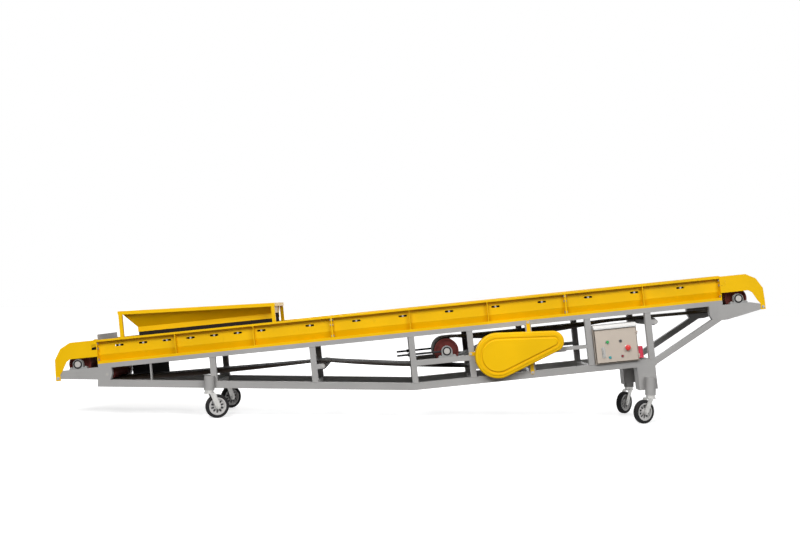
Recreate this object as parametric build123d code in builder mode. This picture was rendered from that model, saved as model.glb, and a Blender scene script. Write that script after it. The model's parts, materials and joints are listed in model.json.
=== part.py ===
"""Mobile belt conveyor: an inclined flat belt in folded side beams, on a braced frame with four casters.

The X axis runs from the tail (loading end) to the head, +Z is up from the floor and Y = 0 is the belt's middle.
Inclined pieces are drawn in deck coordinates: s along the deck from the beams' tail end, and n square to it,
up from the beams' top. The near side, with the control box, is at -Y.
"""
import os
from math import asin, atan2, cos, degrees, hypot, pi, radians, sin, tan

from build123d import *

os.makedirs("parts", exist_ok=True)

# Deck and side beams
incline = 6.5
deck_tail_x = -2688
deck_tail_z = 647
frame_width = 700
tube_depth = 50
beam_section = 2010
beam_head_section = 1340
beam_height = 205
beam_sheet = 4
beam_flange = 50
beam_top_lip = 17
beam_foot_lip = 24
beam_web_drop = 128
beam_fold_in = 26
rib_pitch = 670
rib_thickness = 6
slot_length = 74

# Belt, rollers and drums
belt_margin = 100
belt_thickness = 8
seat_gap = 0.3
carry_roller_radius = 38
carry_roller_margin = 80
carry_shaft_radius = 8
carry_axis_n = -62
loading_roller_start = 185
loading_roller_pitch = 203
loading_roller_count = 7
carry_roller_start = 1820
carry_roller_head_margin = 332
carry_roller_count = 9
return_roller_radius = 32
return_shaft_radius = 10
tail_snub_radius = 45
tail_snub_shaft_radius = 12
drum_margin = 70
drum_shell = 12
drum_end_recess = 18
drum_shaft_radius = 25
end_drum_radius = 94
takeup_drum_radius = 105
drive_drum_radius = 105

# Bearings
bearing_height = 53
end_bearing_height = 42
bearing_housing_radius = 46
bearing_base_length = 150
bearing_base_thickness = 14
bearing_width = 44

# Frame tubes
rail_height = 40
post_width = 50
chord_height = 60
chord_low_z = 252
chord_tail_x = -2662
chord_deck_n = -640
chord_head_out = 30
tail_post_stations = (970, 1825)
last_post_in = 650
drive_post_gaps = (1515, 1015, 510)
brace_width = 50
brace_foot_out = 12
brace_foot_n = -672
brace_head_in = 30
brace_head_n = -350
midrail_height = 46
cross_tube = 40
bracket_flat = 8
bracket_flat_height = 42

# Stations of drums, rollers and drive
tail_drum_out = 171
head_drum_out = 142
takeup_drum_out = 292
takeup_drum_n = -397
drive_drum_out = 215
drive_drum_n = -476
bend_roller_at = (1899, -416)
snub_roller_out = 60
snub_roller_n = -328
tail_snub_at = (70, -300)
motor_out = 192
motor_n = -404
motor_radius = 82
motor_near_inset = 120
motor_length = 400
motor_shaft_radius = 14
motor_foot_height = 91
motor_base_thickness = 8
motor_rail_height = 30
tie_bar_s = 440
tie_bar_thickness = 10
tie_bar_width = 40
panel_sheet = 4
panel_tail_s = 120
panel_head_s = 455
panel_tail_low_n = -350
panel_head_low_n = -389
takeup_screw_radius = 9
takeup_screw_out = 136

# Guards and drive cover
guard_sheet = 5
guard_reach = 369
cover_depth = 90
cover_big_radius = 193
cover_small_radius = 90
cover_rim = 28
cover_recess = 7
cover_bead = 14
cover_tab_sheet = 5
cover_step = 12

# Hopper
hopper_tail_s = 205
hopper_head_s = 1545
hopper_tail_n = 225
hopper_head_n = 163
hopper_bar = 40
hopper_bar_height = 30
hopper_post = 30
hopper_sheet = 4
hopper_throat_n = 75
hopper_throat_tail_s = 337
hopper_throat_margin = 118
hopper_skirt = 43
rubber_sheet = 8
back_plate_sheet = 6
back_plate_s = 5
back_plate_low_n = -38
back_plate_top_n = 46

# Control box
box_tail_gap = 7
box_head_gap = 93
box_width = 370
box_height = 300
box_depth = 160
box_front_out = 22
box_sheet = 3
door_margin = 10
door_thickness = 13
door_gap = 1
hinge_pin_radius = 4
hinge_knuckle_radius = 8
hinge_length = 15
hinge_inset = 45
hood_rise = 28
hood_reach = 32
inlet_radius = 28

# Legs and casters
leg_tube_radius = 44.5
leg_tube_wall = 8
leg_tube_out = 35
leg_tube_low_z = 240
leg_floor = 12
tail_leg_x = -1709
head_leg_out = 46.6
tail_leg_height = 118
head_leg_height = 150
leg_plate_sheet = 8
leg_plate_width = 156
leg_plate_height = 198
leg_plate_flange = 140
wheel_radius = 100
wheel_width = 46
wheel_rim_radius = 74
wheel_trail = 72
wheel_spokes = 10
axle_radius = 8
fork_sheet = 6
fork_gap = 7
stem_radius = 12
race_radius = 38
pivot_clearance = 0.1

# Derived places
side = frame_width / 2
inner = side - tube_depth
beam_length = 2 * beam_section + beam_head_section
slope = radians(incline)
rail_top_n = -beam_height
seat_n = rail_top_n - rail_height
tail_seat_n = -232
tail_drum_n = tail_seat_n + end_bearing_height
head_drum_n = seat_n + end_bearing_height
chord_top_z = chord_low_z + chord_height
web_y = side - beam_flange
belt_width = frame_width - 2 * belt_margin
carry_roller_length = frame_width - 2 * carry_roller_margin
drum_length = frame_width - 2 * drum_margin
carry_roller_pitch = (beam_length - carry_roller_head_margin - carry_roller_start) / (carry_roller_count - 1)
tail_drum_s = -tail_drum_out
head_drum_s = beam_length + head_drum_out
motor_near_y = motor_near_inset - side
box_front_y = -side - box_front_out
last_post = beam_length - last_post_in
box_tail_s = last_post - post_width / 2 - box_head_gap - box_width
box_post = box_tail_s - box_tail_gap - post_width / 2
post_stations = tail_post_stations + tuple(box_post - gap for gap in drive_post_gaps) + (box_post, last_post)
chord_head_s = last_post + chord_head_out
brace_foot = (last_post + brace_foot_out, brace_foot_n)
brace_head = (beam_length - brace_head_in, brace_head_n)
takeup_drum_at = (post_stations[2] + takeup_drum_out, takeup_drum_n)
drive_drum_at = (post_stations[3] + drive_drum_out, drive_drum_n)
motor_at = (post_stations[4] + motor_out, motor_n)
snub_roller_at = (last_post + snub_roller_out, snub_roller_n)
takeup_screw_start = post_stations[2] - takeup_screw_out
hopper_throat_half = side - hopper_throat_margin
head_leg_x = deck_tail_x + (last_post + head_leg_out) * cos(slope)


def deck_point(s, n, y=0):
    """The place in space of a point given along and square to the deck."""
    return Vector(deck_tail_x + s * cos(slope) - n * sin(slope), y, deck_tail_z + s * sin(slope) + n * cos(slope))


def side_plane(y):
    """A plane for side views: local x is s, local y is n, and extrusion goes towards -Y."""
    return Plane(origin=deck_point(0, 0, y), x_dir=(cos(slope), 0, sin(slope)), z_dir=(0, -1, 0))


def cross_plane(s):
    """A plane for cross sections: local x is Y, local y is n, and extrusion goes towards the head."""
    return Plane(origin=deck_point(s, 0), x_dir=(0, 1, 0), z_dir=(cos(slope), 0, sin(slope)))


def top_plane(n):
    """A plane seen from above the deck: local x is s, local y is Y, and extrusion goes up from the deck."""
    return Plane(origin=deck_point(0, n), x_dir=(cos(slope), 0, sin(slope)), z_dir=(-sin(slope), 0, cos(slope)))


def level_n(s, z):
    """The n of a level line of height z at station s."""
    return (z - deck_tail_z - s * sin(slope)) / cos(slope)


def level_s(n, z):
    """The station where a line at n along the deck reaches the height z."""
    return (z - deck_tail_z - n * cos(slope)) / sin(slope)


def save(name, piece):
    """Label one finished piece and write it under that name."""
    piece.label = name
    export_step(piece, f"parts/{name}.step")


# Stations where the level chord meets the chord that runs along the deck
chord_low_n = chord_deck_n - chord_height
bend_top = (level_s(chord_deck_n, chord_top_z), chord_deck_n)
bend_low = (level_s(chord_low_n, chord_low_z), chord_low_n)


def chord_top_n(s):
    """The n of the lower chord's top under station s."""
    if s < bend_top[0]:
        return level_n(s, chord_top_z)
    return chord_deck_n


# Folded side beams, in bolted sections with outer ribs and a slot for each roller shaft
roller_stations = [loading_roller_start + i * loading_roller_pitch for i in range(loading_roller_count)]
roller_stations += [carry_roller_start + i * carry_roller_pitch for i in range(carry_roller_count)]
web_face = -web_y
fold_face = web_face + beam_fold_in
beam_line = (
    (-side, -beam_top_lip),
    (-side, 0),
    (web_face, 0),
    (web_face, -beam_web_drop),
    (fold_face, -beam_height + 2 * beam_sheet),
    (fold_face, -beam_height),
    (-side, -beam_height),
    (-side, -beam_height + beam_foot_lip),
)
rib_line = (
    (-side, 0),
    (web_face, 0),
    (web_face, -beam_web_drop),
    (fold_face, -beam_height + 2 * beam_sheet),
    (fold_face, -beam_height),
    (-side, -beam_height),
)
# Each section: name, tail station, length
beam_sections = (
    ("side_beams_tail", 0, beam_section),
    ("side_beams_mid", beam_section, beam_section),
    ("side_beams_head", 2 * beam_section, beam_head_section),
)
slot_width = 2 * (carry_shaft_radius + seat_gap)
for beam_name, start, length in beam_sections:
    inner_ribs = [start + i * rib_pitch for i in range(1, round(length / rib_pitch))]
    rib_starts = [start] + [s - rib_thickness / 2 for s in inner_ribs] + [start + length - rib_thickness]
    with BuildPart() as beams:
        with BuildSketch(cross_plane(start)):
            with BuildLine():
                Polyline(*beam_line)
                offset(amount=beam_sheet, side=Side.RIGHT, kind=Kind.INTERSECTION)
            make_face()
        extrude(amount=length)
        for rib_start in rib_starts:
            with BuildSketch(cross_plane(rib_start)):
                with BuildLine():
                    Polyline(*rib_line, close=True)
                make_face()
            extrude(amount=rib_thickness)
        with BuildSketch(side_plane(0)):
            for station in roller_stations:
                if start < station < start + length:
                    with Locations((station, carry_axis_n)):
                        SlotOverall(slot_length, slot_width)
        extrude(amount=side, mode=Mode.SUBTRACT)
        mirror(about=Plane.XZ)
    save(beam_name, beams.part)

# Top rails under the beams
with BuildPart() as rails:
    with BuildSketch(side_plane(-inner)):
        with Locations((beam_length / 2, rail_top_n - rail_height / 2)):
            Rectangle(beam_length, rail_height)
    extrude(amount=tube_depth)
    mirror(about=Plane.XZ)
save("top_rails", rails.part)

# Posts, square to the deck, with a hole for the take-up screw in the third
with BuildPart() as posts:
    with BuildSketch(side_plane(-inner)):
        for station in post_stations:
            tail, head = station - post_width / 2, station + post_width / 2
            with BuildLine():
                Polyline(
                    (tail, seat_n), (head, seat_n), (head, chord_top_n(head)), (tail, chord_top_n(tail)), close=True
                )
            make_face()
    extrude(amount=tube_depth)
    with BuildSketch(cross_plane(takeup_screw_start)):
        with Locations((-inner - tube_depth / 2, takeup_drum_at[1])):
            Circle(takeup_screw_radius + seat_gap)
    extrude(amount=post_stations[2] + post_width - takeup_screw_start, mode=Mode.SUBTRACT)
    mirror(about=Plane.XZ)
save("posts", posts.part)

# Lower chords: level under the tail, along the deck towards the head
with BuildPart() as tail_chords:
    with BuildSketch(side_plane(-inner)):
        with BuildLine():
            tail_low_s = (chord_tail_x - deck_tail_x) * cos(slope) + (chord_low_z - deck_tail_z) * sin(slope)
            tail_top_s = tail_low_s + chord_height * sin(slope)
            Polyline(
                (tail_low_s, level_n(tail_low_s, chord_low_z)),
                (tail_top_s, level_n(tail_top_s, chord_top_z)),
                bend_top,
                bend_low,
                close=True,
            )
        make_face()
    extrude(amount=tube_depth)
    mirror(about=Plane.XZ)
save("tail_chords", tail_chords.part)

with BuildPart() as head_chords:
    with BuildSketch(side_plane(-inner)):
        with BuildLine():
            Polyline(bend_top, bend_low, (chord_head_s, chord_low_n), (chord_head_s, chord_deck_n), close=True)
        make_face()
    extrude(amount=tube_depth)
    mirror(about=Plane.XZ)
save("head_chords", head_chords.part)

# Mid rails between the drive's posts, each row: top n, height
takeup_rail_n = takeup_drum_at[1] - bearing_height
drive_rail_n = drive_drum_at[1] - bearing_height
motor_rail_n = motor_at[1] - motor_foot_height + motor_rail_height
mid_rails = (
    (takeup_rail_n, midrail_height),
    (drive_rail_n, midrail_height),
    (motor_rail_n, motor_rail_height),
)
with BuildPart() as mid_rail_pairs:
    with BuildSketch(side_plane(-inner)):
        for tail_post, head_post, (top_n, height) in zip(post_stations[2:], post_stations[3:], mid_rails):
            tail = tail_post + post_width / 2
            head = head_post - post_width / 2
            with Locations(((tail + head) / 2, top_n - height / 2)):
                Rectangle(head - tail, height)
    extrude(amount=tube_depth)
    mirror(about=Plane.XZ)
save("mid_rails", mid_rail_pairs.part)

# Cross tubes between the two sides, one row under the rails' tops and one between the chords
with BuildPart() as cross_tubes:
    with BuildSketch(side_plane(inner)):
        for station in post_stations:
            with Locations((station, rail_top_n - rail_height / 2)):
                Rectangle(cross_tube, rail_height - 2 * beam_sheet)
            with Locations((station, chord_top_n(station) - chord_height / 2)):
                Rectangle(cross_tube, cross_tube)
    extrude(amount=2 * inner)
save("cross_tubes", cross_tubes.part)

# Head braces from the last post's foot up to the head brackets
brace_turn = atan2(brace_head[1] - brace_foot[1], brace_head[0] - brace_foot[0])
# The head bracket's outline, each point: station past the beams' end, n
head_bracket_corners = ((-119, seat_n), (240, seat_n), (330, -267), (330, -313), (30, -373), (-60, -373), (-102, -357), (-119, -320))
head_bracket_outline = [(beam_length + out, n) for out, n in head_bracket_corners]
with BuildPart() as braces:
    with BuildSketch(side_plane(-inner)):
        with Locations(
            Location(((brace_foot[0] + brace_head[0]) / 2, (brace_foot[1] + brace_head[1]) / 2, 0),
                     (0, 0, degrees(brace_turn)))
        ):
            Rectangle(hypot(brace_head[0] - brace_foot[0], brace_head[1] - brace_foot[1]), brace_width)
        with BuildLine():
            Polyline(*head_bracket_outline, close=True)
        make_face(mode=Mode.SUBTRACT)
        with Locations((chord_head_s - chord_height / 2, chord_deck_n - chord_height / 2)):
            Rectangle(chord_height, chord_height, mode=Mode.SUBTRACT)
        with Locations((post_stations[-1], (seat_n + chord_deck_n) / 2)):
            Rectangle(post_width, seat_n - chord_deck_n, mode=Mode.SUBTRACT)
    extrude(amount=tube_depth)
    mirror(about=Plane.XZ)
save("head_braces", braces.part)

# End brackets that carry the head and tail bearings
with BuildPart() as head_brackets:
    with BuildSketch(side_plane(-inner)):
        with BuildLine():
            Polyline(*head_bracket_outline, close=True)
        make_face()
    extrude(amount=tube_depth)
    mirror(about=Plane.XZ)
save("head_brackets", head_brackets.part)

tail_bracket_tail = -345
tail_bracket_head = 112
tail_bracket_corner = 38
tail_bracket_low_n = -305
with BuildPart() as tail_brackets:
    with BuildSketch(side_plane(-inner)):
        with BuildLine():
            Polyline(
                (tail_bracket_tail, tail_seat_n - tail_bracket_corner),
                (tail_bracket_tail + tail_bracket_corner, tail_seat_n),
                (-2, tail_seat_n),
                (-2, seat_n),
                (tail_bracket_head, seat_n),
                (tail_bracket_head, tail_bracket_low_n),
                (tail_bracket_head - tail_bracket_corner / 2, level_n(tail_bracket_head - tail_bracket_corner / 2, chord_top_z)),
                (tail_bracket_tail, level_n(tail_bracket_tail, chord_top_z)),
                close=True,
            )
        make_face()
        with Locations(tail_snub_at):
            Circle(tail_snub_shaft_radius + seat_gap, mode=Mode.SUBTRACT)
    extrude(amount=tube_depth)
    mirror(about=Plane.XZ)
save("tail_brackets", tail_brackets.part)

# End guards: the same beaked plate at tail and head, in front of the beam's end rib and the bracket's end
guard_outer = ((0, 0), (226, 0), (311, -45), (364, -133), (guard_reach, -250), (guard_reach, -315), (329, -315), (329, -262))
guard_inner = ((308, -235), (268, -162), (236, -141), (0, -141))
guard_hole = 48
guard_hole_width = 40
# Each guard pair: name, station of its root, direction along the deck
guards = (("tail_guards", rib_thickness, -1), ("head_guards", beam_length - rib_thickness, 1))
for guard_name, root_s, direction in guards:
    with BuildPart() as guard_pair:
        with BuildSketch(side_plane(-side)):
            with BuildLine():
                Polyline(*[(root_s + direction * out, n) for out, n in guard_outer + guard_inner], close=True)
            make_face()
            with Locations((root_s + direction * (rib_thickness + guard_hole_width / 2), -1.2 * guard_hole)):
                Rectangle(guard_hole_width, guard_hole, mode=Mode.SUBTRACT)
        extrude(amount=guard_sheet)
        mirror(about=Plane.XZ)
    save(guard_name, guard_pair.part)

# Cross plate that closes the tail end above the belt
with BuildPart() as back_plate:
    with BuildSketch(cross_plane(back_plate_s - back_plate_sheet / 2)):
        with Locations((0, (back_plate_low_n + back_plate_top_n) / 2)):
            Rectangle(2 * web_y, back_plate_top_n - back_plate_low_n)
    extrude(amount=back_plate_sheet)
save("tail_back_plate", back_plate.part)

# Drums with recessed end discs and through shafts, each row: name, place, radius, bearing height
drums = (
    ("tail_drum", (tail_drum_s, tail_drum_n), end_drum_radius, end_bearing_height),
    ("head_drum", (head_drum_s, head_drum_n), end_drum_radius, end_bearing_height),
    ("takeup_drum", takeup_drum_at, takeup_drum_radius, bearing_height),
    ("drive_drum", drive_drum_at, drive_drum_radius, bearing_height),
)
for drum_name, place, radius, _ in drums:
    with BuildPart() as drum:
        with BuildSketch(side_plane(drum_length / 2)):
            with Locations(place):
                Circle(radius)
        extrude(amount=drum_length)
        for face_y, depth in ((-drum_length / 2, -drum_end_recess), (drum_length / 2, drum_end_recess)):
            with BuildSketch(side_plane(face_y)):
                with Locations(place):
                    Circle(radius - drum_shell)
            extrude(amount=depth, mode=Mode.SUBTRACT)
        with BuildSketch(side_plane(side - seat_gap)):
            with Locations(place):
                Circle(drum_shaft_radius)
        extrude(amount=frame_width - 2 * seat_gap)
    save(drum_name, drum.part)

# Pillow blocks at both ends of each drum
bearing_y = inner + tube_depth / 2 - bearing_width / 2
with BuildPart() as bearings:
    for _, (s, n), _, height in drums:
        base_n = n - height + bearing_base_thickness / 2
        with BuildSketch(side_plane(-bearing_y)):
            with Locations((s, n)):
                Circle(min(bearing_housing_radius, height))
            with Locations((s, n - height / 2)):
                Rectangle(2 * min(bearing_housing_radius, height), height)
            with Locations((s, base_n)):
                Rectangle(bearing_base_length, bearing_base_thickness)
            with Locations((s, n)):
                Circle(drum_shaft_radius + seat_gap, mode=Mode.SUBTRACT)
        extrude(amount=bearing_width)
    mirror(about=Plane.XZ)
save("pillow_blocks", bearings.part)

# Take-up screws from the third post to the take-up bearings
takeup_nut_radius = 17
takeup_nut_length = 20
takeup_nut_s = post_stations[2] - post_width / 2 - takeup_nut_length
takeup_screw_end = takeup_drum_at[0] - bearing_housing_radius - seat_gap
with BuildPart() as takeup_screws:
    for start, length, sides in (
        (takeup_screw_start, takeup_screw_end - takeup_screw_start, 0),
        (takeup_nut_s, takeup_nut_length, 6),
    ):
        with BuildSketch(cross_plane(start)):
            with Locations((-inner - tube_depth / 2, takeup_drum_at[1])):
                if sides:
                    RegularPolygon(takeup_nut_radius, sides)
                else:
                    Circle(takeup_screw_radius)
        extrude(amount=length)
    mirror(about=Plane.XZ)
save("takeup_screws", takeup_screws.part)

# Carry rollers on shafts whose ends show in the beams' slots
with BuildPart() as carry_rollers:
    for half, radius in ((carry_roller_length / 2, carry_roller_radius), (web_y + beam_sheet, carry_shaft_radius)):
        with BuildSketch(side_plane(half)):
            for station in roller_stations:
                with Locations((station, carry_axis_n)):
                    Circle(radius)
        extrude(amount=2 * half)
save("carry_rollers", carry_rollers.part)

# Return rollers and the flat bars that carry them, each row: name, place, radius, shaft radius, shaft half length
return_rollers = (
    ("tail_snub_roller", tail_snub_at, tail_snub_radius, tail_snub_shaft_radius, side - seat_gap),
    ("bend_roller", bend_roller_at, return_roller_radius, return_shaft_radius, side - seat_gap),
    ("snub_roller", snub_roller_at, return_roller_radius, return_shaft_radius, side - seat_gap),
)
for roller_name, place, radius, shaft_radius, shaft_half in return_rollers:
    with BuildPart() as roller:
        for half, size in ((carry_roller_length / 2, radius), (shaft_half, shaft_radius)):
            with BuildSketch(side_plane(half)):
                with Locations(place):
                    Circle(size)
            extrude(amount=2 * half)
    save(roller_name, roller.part)

# Each bar: roller, post that it is welded to
roller_bar_rows = ((bend_roller_at, post_stations[1]), (snub_roller_at, post_stations[6]))
with BuildPart() as roller_bars:
    with BuildSketch(side_plane(-side + bracket_flat)):
        for (s, n), post in roller_bar_rows:
            start = post + post_width / 2
            with Locations(((start + s) / 2, n)):
                Rectangle(s - start, bracket_flat_height)
            with Locations((s, n)):
                Circle(bracket_flat_height / 2)
                Circle(return_shaft_radius + seat_gap, mode=Mode.SUBTRACT)
    extrude(amount=bracket_flat)
    mirror(about=Plane.XZ)
save("return_roller_bars", roller_bars.part)

# Belt: one loop over rollers and drums, each row: place, radius, turn (1 inside the loop, -1 outside it)
belt_wheels = (
    ((head_drum_s, head_drum_n), end_drum_radius, 1),
    ((roller_stations[-1], carry_axis_n), carry_roller_radius, 1),
    ((roller_stations[0], carry_axis_n), carry_roller_radius, 1),
    ((tail_drum_s, tail_drum_n), end_drum_radius, 1),
    (tail_snub_at, tail_snub_radius, 1),
    (bend_roller_at, return_roller_radius, -1),
    (drive_drum_at, drive_drum_radius, 1),
    (takeup_drum_at, takeup_drum_radius, -1),
    (snub_roller_at, return_roller_radius, -1),
)


def belt_loop(lift):
    """Tangent lines and arcs of the belt's inner face moved out by lift, as (start, end, arc middle or None)."""
    wheels = []
    for (s, n), radius, turn in belt_wheels:
        reach = radius + seat_gap + (lift if turn > 0 else belt_thickness - lift)
        wheels.append((s, n, reach, turn))
    runs = []
    for (s0, n0, r0, t0), (s1, n1, r1, t1) in zip(wheels, wheels[1:] + wheels[:1]):
        distance = hypot(s1 - s0, n1 - n0)
        heading = atan2(n1 - n0, s1 - s0) - asin((t1 * r1 - t0 * r0) / distance)
        out = (sin(heading), -cos(heading))
        runs.append(((s0 + t0 * r0 * out[0], n0 + t0 * r0 * out[1]), (s1 + t1 * r1 * out[0], n1 + t1 * r1 * out[1])))
    pieces = []
    for (s, n, reach, turn), before, after in zip(wheels, runs[-1:] + runs[:-1], runs):
        start = atan2(before[1][1] - n, before[1][0] - s)
        sweep = (atan2(after[0][1] - n, after[0][0] - s) - start) * turn % (2 * pi) * turn
        middle = (s + reach * cos(start + sweep / 2), n + reach * sin(start + sweep / 2))
        pieces.append((before[1], after[0], middle))
        pieces.append((after[0], after[1], None))
    return pieces


with BuildPart() as belt:
    for lift, mode in ((belt_thickness, Mode.ADD), (0, Mode.SUBTRACT)):
        with BuildSketch(side_plane(belt_width / 2)):
            with BuildLine():
                for start_point, end_point, middle in belt_loop(lift):
                    if middle is None:
                        Line(start_point, end_point)
                    else:
                        ThreePointArc(start_point, middle, end_point)
            make_face()
        extrude(amount=belt_width, mode=mode)
save("belt", belt.part)

# Tie bars from rail to chord near the tail, and a dark panel hung inside the far rail
with BuildPart() as tie_bars:
    with BuildSketch(side_plane(-inner - (tube_depth - tie_bar_width) / 2)):
        tail, head = tie_bar_s - tie_bar_thickness / 2, tie_bar_s + tie_bar_thickness / 2
        with BuildLine():
            Polyline((tail, seat_n), (head, seat_n), (head, chord_top_n(head)), (tail, chord_top_n(tail)), close=True)
        make_face()
    extrude(amount=tie_bar_width)
    mirror(about=Plane.XZ)
save("tail_tie_bars", tie_bars.part)

with BuildPart() as tail_panel:
    with BuildSketch(side_plane(inner)):
        with BuildLine():
            Polyline(
                (panel_tail_s, rail_top_n),
                (panel_head_s, rail_top_n),
                (panel_head_s, panel_head_low_n),
                (panel_tail_s, panel_tail_low_n),
                close=True,
            )
        make_face()
    extrude(amount=panel_sheet)
save("tail_panel", tail_panel.part)

# Drive motor on its base plate under the motor rails
motor_s, motor_n = motor_at
motor_base_n = motor_n - motor_foot_height
motor_foot_length = 240
motor_foot_width = 190
motor_fan_cover = 70
terminal_box = (46, 80, 110)
with BuildPart() as motor:
    with BuildSketch(side_plane(motor_near_y + motor_length)):
        with Locations(motor_at):
            Circle(motor_radius)
    extrude(amount=motor_length)
    chamfer(motor.edges().filter_by(GeomType.CIRCLE), motor_radius / 8)
    with BuildSketch(side_plane(motor_near_y)):
        with Locations(motor_at):
            Circle(motor_shaft_radius)
    extrude(amount=side + motor_near_y - seat_gap)
    with BuildSketch(side_plane(motor_near_y + motor_length - motor_fan_cover)):
        with Locations((motor_s, motor_base_n + motor_foot_height / 2)):
            Rectangle(motor_radius, motor_foot_height)
        with Locations((motor_s, motor_base_n + motor_base_thickness / 2)):
            Rectangle(motor_foot_width, motor_base_thickness)
    extrude(amount=motor_foot_length)
    with BuildSketch(side_plane(motor_near_y + motor_length / 2 + terminal_box[2] / 2)):
        with Locations((motor_s + motor_radius, motor_n + motor_base_thickness)):
            Rectangle(terminal_box[0], terminal_box[1])
    extrude(amount=terminal_box[2])
save("motor", motor.part)

motor_base_length = 220
with BuildPart() as motor_base:
    with BuildSketch(side_plane(side)):
        with Locations((motor_s, motor_base_n - motor_base_thickness / 2)):
            Rectangle(motor_base_length, motor_base_thickness)
    extrude(amount=frame_width)
save("motor_base", motor_base.part)

# Drive cover: a teardrop with a raised rim, held to the frame by tabs
cover_tab = 30
cover_tab_reach = 62
# Each tab: station past the drive drum, n, turn in degrees
cover_tabs = ((-178, -443, 0), (290, -268, 90), (286, -606, 90))


def cover_outline(inset):
    """The drive cover's outline, a big round and a small one joined by tangents, taken in by an inset."""
    with BuildSketch() as outline:
        with Locations(drive_drum_at):
            Circle(cover_big_radius - inset)
        with Locations(motor_at):
            Circle(cover_small_radius - inset)
        make_hull()
    return outline.sketch


with BuildPart() as cover:
    with BuildSketch(side_plane(-side)):
        add(cover_outline(0))
    extrude(amount=cover_depth - cover_step)
    fillet(cover.faces().sort_by(Axis.Y)[0].edges(), cover_rim / 2)
    with BuildSketch(side_plane(-side - cover_depth + cover_step)):
        add(cover_outline(cover_rim))
        add(cover_outline(cover_rim + cover_bead), mode=Mode.SUBTRACT)
    extrude(amount=cover_recess)
    with BuildSketch(side_plane(-side - cover_depth + cover_step)):
        add(cover_outline(cover_rim + 2 * cover_bead))
    extrude(amount=cover_step)
    chamfer(cover.faces().sort_by(Axis.Y)[0].edges(), cover_step / 2)
    with BuildSketch(side_plane(-side)):
        for out, n, turn in cover_tabs:
            place = (drive_drum_at[0] + out, n)
            with Locations(place):
                SlotOverall(2 * cover_tab_reach, cover_tab, rotation=turn)
    extrude(amount=cover_tab_sheet)
save("drive_cover", cover.part)

# Hopper: rim on four posts, sloping sheets with a skirt, and rubber strips down to the belt
rim_turn = atan2(hopper_head_n - hopper_tail_n, hopper_head_s - hopper_tail_s)


def rim_n(s):
    """The n of the hopper rim's underside at station s."""
    return hopper_tail_n - hopper_bar_height + (s - hopper_tail_s) * tan(rim_turn)


rim_side_line = (
    (hopper_tail_s, rim_n(hopper_tail_s)),
    (hopper_head_s, rim_n(hopper_head_s)),
    (hopper_head_s, hopper_head_n),
    (hopper_tail_s, hopper_tail_n),
)
with BuildPart() as hopper_rim:
    with BuildSketch(side_plane(side)):
        with BuildLine():
            Polyline(*rim_side_line, close=True)
        make_face()
    extrude(amount=frame_width)
    with BuildSketch(top_plane(0)):
        with Locations(((hopper_tail_s + hopper_head_s) / 2, 0)):
            Rectangle(hopper_head_s - hopper_tail_s - 2 * hopper_bar, frame_width - 2 * hopper_bar)
    extrude(amount=2 * hopper_tail_n, mode=Mode.SUBTRACT)
save("hopper_rim", hopper_rim.part)

post_inset = (hopper_bar - hopper_post) / 2
with BuildPart() as hopper_posts:
    with BuildSketch(side_plane(-side + hopper_post)):
        for tail in (hopper_tail_s + post_inset, hopper_head_s - post_inset - hopper_post):
            head = tail + hopper_post
            with BuildLine():
                Polyline((tail, 0), (head, 0), (head, rim_n(head)), (tail, rim_n(tail)), close=True)
            make_face()
    extrude(amount=hopper_post)
    mirror(about=Plane.XZ)
save("hopper_posts", hopper_posts.part)

hopper_mouth_tail = hopper_tail_s + hopper_bar - hopper_sheet
hopper_mouth_head = hopper_head_s - hopper_bar + hopper_sheet
hopper_mouth_half = side - hopper_bar + 2 * hopper_sheet
rim_plane = Plane(
    origin=deck_point(0, rim_n(0)),
    x_dir=(cos(slope + rim_turn), 0, sin(slope + rim_turn)),
    z_dir=(-sin(slope + rim_turn), 0, cos(slope + rim_turn)),
)
with BuildPart() as hopper_sheets:
    for inset, mode in ((0, Mode.ADD), (hopper_sheet, Mode.SUBTRACT)):
        mouth_tail = (hopper_mouth_tail + inset) / cos(rim_turn)
        mouth_head = (hopper_mouth_head - inset) / cos(rim_turn)
        with BuildSketch(rim_plane):
            with Locations(((mouth_tail + mouth_head) / 2, 0)):
                Rectangle(mouth_head - mouth_tail, 2 * (hopper_mouth_half - inset))
        throat_tail = hopper_throat_tail_s + inset
        throat_head = hopper_mouth_head - inset
        with BuildSketch(top_plane(hopper_throat_n)):
            with Locations(((throat_tail + throat_head) / 2, 0)):
                Rectangle(throat_head - throat_tail, 2 * (hopper_throat_half - inset))
        loft(ruled=True, mode=mode)
        with BuildSketch(top_plane(hopper_throat_n)):
            with Locations(((throat_tail + throat_head) / 2, 0)):
                Rectangle(throat_head - throat_tail, 2 * (hopper_throat_half - inset))
        extrude(amount=-hopper_skirt, mode=mode)
    with BuildSketch(cross_plane(hopper_mouth_head - hopper_sheet)):
        with Locations((0, hopper_throat_n - hopper_skirt / 2)):
            Rectangle(2 * (hopper_throat_half - hopper_sheet), hopper_skirt)
    extrude(amount=hopper_sheet, mode=Mode.SUBTRACT)
save("hopper_sheets", hopper_sheets.part)

rubber_low_n = carry_axis_n + carry_roller_radius + 2 * seat_gap + belt_thickness
rubber_height = hopper_throat_n - rubber_low_n
with BuildPart() as rubber:
    with BuildSketch(top_plane(rubber_low_n)):
        for turn in (-1, 1):
            middle = (hopper_throat_tail_s + hopper_mouth_head) / 2
            with Locations((middle, turn * (hopper_throat_half - hopper_sheet - rubber_sheet / 2))):
                Rectangle(hopper_mouth_head - hopper_throat_tail_s - 2 * hopper_sheet, rubber_sheet)
        with Locations((hopper_throat_tail_s + hopper_sheet + rubber_sheet / 2, 0)):
            Rectangle(rubber_sheet, 2 * (hopper_throat_half - hopper_sheet - rubber_sheet - seat_gap))
    extrude(amount=rubber_height)
save("hopper_rubber", rubber.part)

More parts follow.
